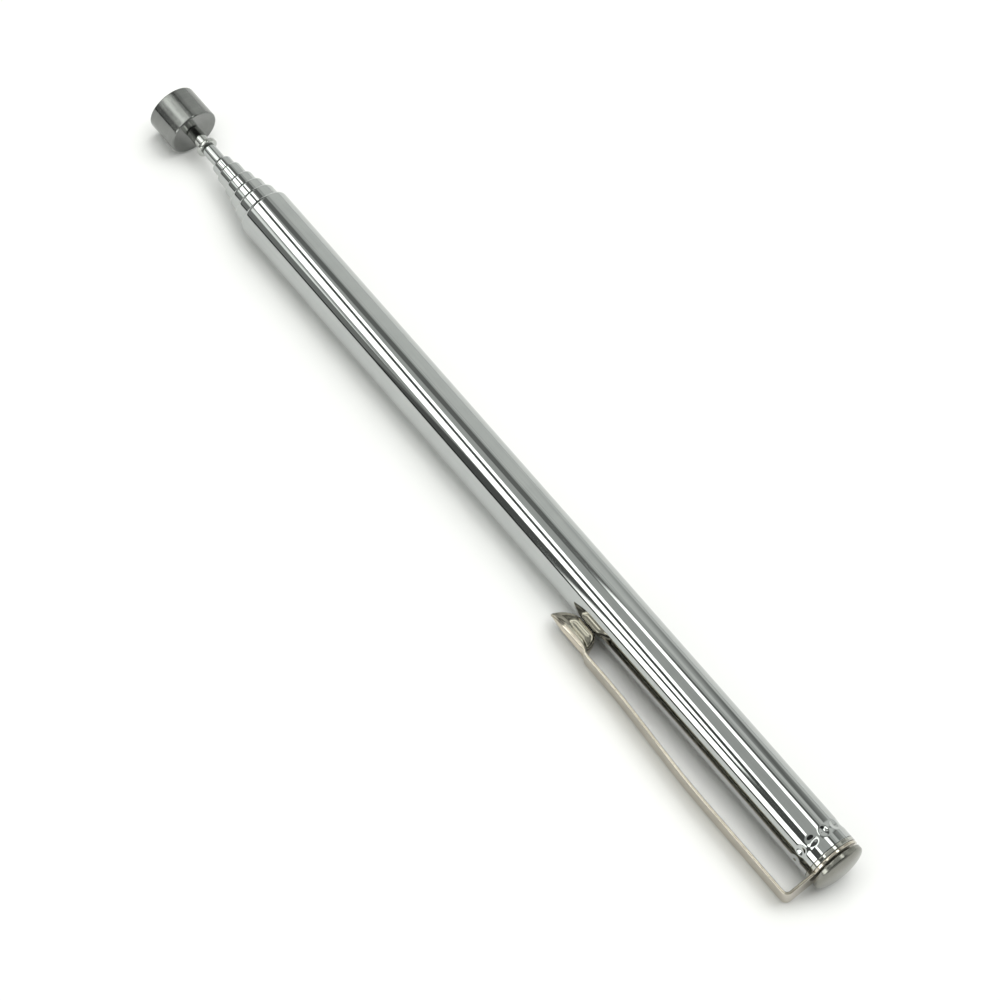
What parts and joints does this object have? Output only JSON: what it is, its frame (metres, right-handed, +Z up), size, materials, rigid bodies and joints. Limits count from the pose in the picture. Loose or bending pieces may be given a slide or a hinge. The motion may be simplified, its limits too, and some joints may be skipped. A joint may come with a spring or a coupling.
{
  "type": "magnetic pickup tool",
  "caption": "Pen-sized telescopic magnetic pickup tool: nested chrome tubes that draw out from a barrel with a pocket clip, and a round magnet in a steel cup on the tip.",
  "frame": {"origin": "middle of the footprint of the closed tool lying on its side, at the level of the surface it lies on", "axes": "+X along the tool towards the magnet, +Y towards the pocket clip, +Z up from the surface"},
  "size_m": [0.13, 0.011, 0.007],
  "materials": {
    "chrome": "polished chrome plate",
    "nickel_plate": "bright nickel plate, slightly warm, on stamped and turned steel",
    "bright_steel": "bright turned steel",
    "turned_steel": "satin nickel on fine turning marks",
    "magnet_plating": "satin nickel plated magnet",
    "brass": "turned brass",
    "spring_bronze": "rolled spring bronze"
  },
  "bodies": {
    "handle": {"outer_tube": "chrome", "end_plug": "nickel_plate", "pocket_clip": "nickel_plate", "cap_rivet": "nickel_plate"},
    "section_2": {"section_2_tube": "chrome", "section_2_stop_bush": "brass", "section_2_friction_spring": "spring_bronze"},
    "section_3": {"section_3_tube": "chrome", "section_3_stop_bush": "brass", "section_3_friction_spring": "spring_bronze"},
    "section_4": {"section_4_tube": "chrome", "section_4_stop_bush": "brass", "section_4_friction_spring": "spring_bronze"},
    "section_5": {"section_5_tube": "chrome", "section_5_stop_bush": "brass", "section_5_friction_spring": "spring_bronze"},
    "section_6": {"section_6_tube": "chrome", "section_6_stop_bush": "brass", "section_6_friction_spring": "spring_bronze"},
    "rod_spring": {"rod_friction_spring": "spring_bronze"},
    "rod": {"inner_rod": "chrome", "rod_stop_collar": "brass", "head_stud": "bright_steel", "magnet_cup": "turned_steel", "head_magnet": "magnet_plating"}
  },
  "joints": [
    {"name": "section_2_slide", "type": "slide", "parent": "handle", "child": "section_2", "axis": [1, 0, 0], "range_m": [0, 0.085]},
    {"name": "section_3_slide", "type": "slide", "parent": "section_2", "child": "section_3", "axis": [1, 0, 0], "range_m": [0, 0.085]},
    {"name": "section_4_slide", "type": "slide", "parent": "section_3", "child": "section_4", "axis": [1, 0, 0], "range_m": [0, 0.085]},
    {"name": "section_5_slide", "type": "slide", "parent": "section_4", "child": "section_5", "axis": [1, 0, 0], "range_m": [0, 0.085]},
    {"name": "section_6_slide", "type": "slide", "parent": "section_5", "child": "section_6", "axis": [1, 0, 0], "range_m": [0, 0.085]},
    {"name": "rod_slide", "type": "slide", "parent": "section_6", "child": "rod_spring", "axis": [1, 0, 0], "range_m": [0, 0.085]},
    {"name": "rod_turn", "type": "hinge", "parent": "rod_spring", "child": "rod", "pos_m": [0.06, -0.00197, 0.0035], "axis": [1, 0, 0], "continuous": true}
  ]
}
